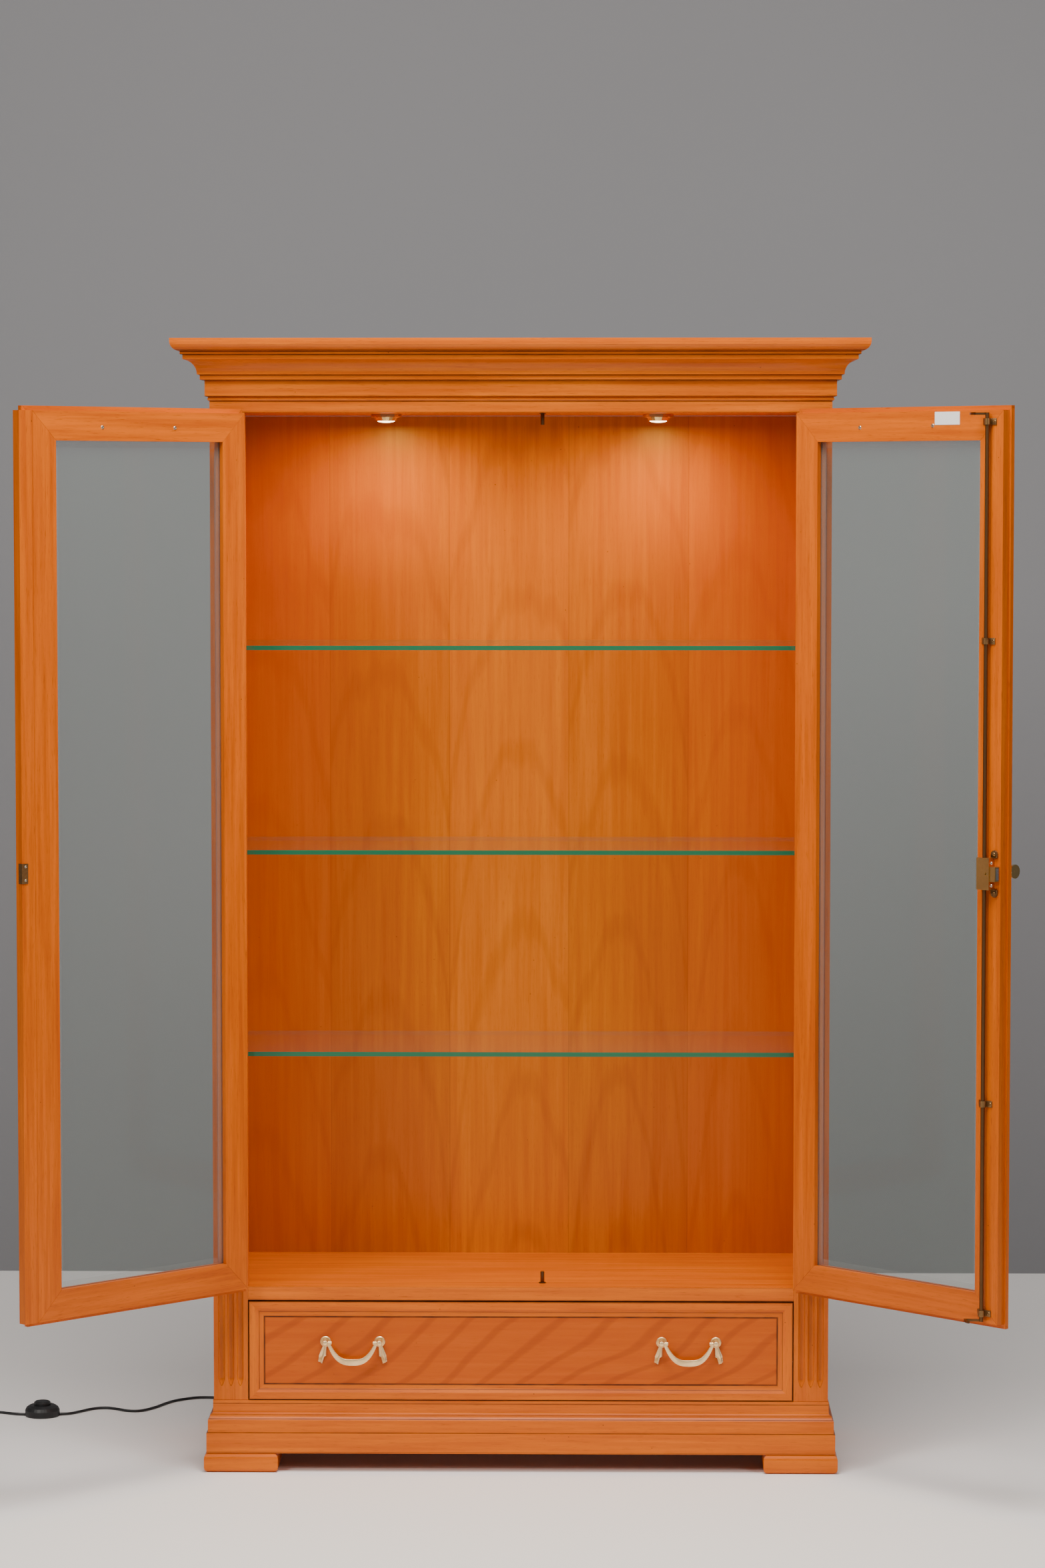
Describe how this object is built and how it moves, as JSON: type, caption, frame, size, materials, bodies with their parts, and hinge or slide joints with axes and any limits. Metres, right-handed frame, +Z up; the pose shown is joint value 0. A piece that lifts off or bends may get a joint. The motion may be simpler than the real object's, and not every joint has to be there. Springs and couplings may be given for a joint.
{
  "type": "china cabinet with glass doors",
  "caption": "Tall cherry display cabinet with mitred glass doors, glass shelves, a drawer on shaped feet, a turning rod lock, lamps and a mains lead with a foot switch.",
  "frame": {"origin": "middle of the footprint on the floor, with the doors standing open as stored and the mains lead left out", "axes": "+X to the right as seen from the front, +Y from the front towards the back, +Z up"},
  "size_m": [1.956, 1.0152, 2],
  "materials": {
    "cherry": "satin lacquered cherry, fine straight grain",
    "cherry_inside": "satin lacquered cherry veneer with cathedral grain",
    "glass": "clear float glass with a faint green edge",
    "brass": "polished brass",
    "bronze": "dark bronzed brass, satin",
    "champagne_brass": "matt champagne coloured brass",
    "black_plastic": "matt black flexible plastic"
  },
  "bodies": {
    "cabinet": {"left_side_panel": "cherry_inside", "right_side_panel": "cherry_inside", "back_panel": "cherry_inside", "top_panel": "cherry_inside", "cabinet_floor": "cherry_inside", "drawer_bay_floor": "cherry", "left_pilaster": "cherry", "right_pilaster": "cherry", "cornice_cap": "cherry", "cornice_moulding": "cherry", "plinth": "cherry", "front_left_foot": "cherry", "front_right_foot": "cherry", "rear_left_foot": "cherry", "rear_right_foot": "cherry", "lower_glass_shelf": "glass", "middle_glass_shelf": "glass", "upper_glass_shelf": "glass", "left_lamp": "brass", "right_lamp": "brass", "left_lower_hinge": "bronze", "left_middle_hinge": "bronze", "left_upper_hinge": "bronze", "right_lower_hinge": "bronze", "right_middle_hinge": "bronze", "right_upper_hinge": "bronze", "cable_gland": "black_plastic", "cord_to_switch": "black_plastic", "cord_to_coil": "black_plastic", "cord_coil": "black_plastic", "mains_plug": "black_plastic", "foot_switch_body": "black_plastic"},
    "left_door": {"left_door_hinge_stile": "cherry", "left_door_meeting_stile": "cherry", "left_door_top_rail": "cherry", "left_door_bottom_rail": "cherry", "left_door_glass": "glass", "meeting_strip": "cherry", "strike_plate": "bronze"},
    "right_door": {"right_door_hinge_stile": "cherry", "right_door_meeting_stile": "cherry", "right_door_top_rail": "cherry", "right_door_bottom_rail": "cherry", "right_door_glass": "glass", "lock_case": "bronze"},
    "lock_bolt": {"lock_bolt": "bronze"},
    "lock_rod": {"lock_rod": "bronze"},
    "key": {"key": "brass"},
    "drawer": {"drawer_front": "cherry", "drawer_left_side": "cherry_inside", "drawer_right_side": "cherry_inside", "drawer_back": "cherry_inside", "drawer_bottom": "cherry_inside", "left_pull_outer_rosette": "champagne_brass", "left_pull_inner_rosette": "champagne_brass", "right_pull_outer_rosette": "champagne_brass", "right_pull_inner_rosette": "champagne_brass"},
    "left_bail": {"left_pull_bail": "champagne_brass"},
    "right_bail": {"right_pull_bail": "champagne_brass"},
    "foot_button": {"foot_switch_button": "black_plastic"}
  },
  "joints": [
    {"name": "left_door_hinge", "type": "hinge", "parent": "cabinet", "child": "left_door", "pos_m": [-0.49418, -0.0093, 1.101], "axis": [0, 0, 1], "range_deg": [-15, 135]},
    {"name": "right_door_hinge", "type": "hinge", "parent": "cabinet", "child": "right_door", "pos_m": [0.48682, -0.0093, 1.101], "axis": [0, 0, -1], "range_deg": [-15, 135]},
    {"name": "drawer_slide", "type": "slide", "parent": "cabinet", "child": "drawer", "axis": [0, -1, 0], "range_m": [0, 0.28]},
    {"name": "lock_rod_turn", "type": "hinge", "parent": "right_door", "child": "lock_rod", "pos_m": [0.77992, -0.34835, 1.095], "axis": [0, 0, 1], "range_deg": [0, 46]},
    {"name": "key_turn", "type": "hinge", "parent": "right_door", "child": "key", "pos_m": [0.80926, -0.33174, 1.095], "axis": [-0.7071, -0.7071, 0], "range_deg": [0, 90.1]},
    {"name": "lock_bolt_slide", "type": "slide", "parent": "right_door", "child": "lock_bolt", "axis": [0.7071, -0.7071, 0], "range_m": [0, 0.01001]},
    {"name": "left_bail_swing", "type": "hinge", "parent": "drawer", "child": "left_bail", "pos_m": [-0.30118, -0.0153, 0.2325], "axis": [-1, 0, 0], "range_deg": [0, 75]},
    {"name": "right_bail_swing", "type": "hinge", "parent": "drawer", "child": "right_bail", "pos_m": [0.29382, -0.0153, 0.2325], "axis": [-1, 0, 0], "range_deg": [0, 75]},
    {"name": "foot_button_press", "type": "slide", "parent": "cabinet", "child": "foot_button", "axis": [0, 0, -1], "range_m": [0, 0.003], "stiffness_N_per_m": 400}
  ],
  "couplings": [
    {"joint": "key_turn", "follows": "lock_rod_turn", "ratio": 1.9565},
    {"joint": "lock_bolt_slide", "follows": "lock_rod_turn", "m_per_rad": 0.012456}
  ]
}
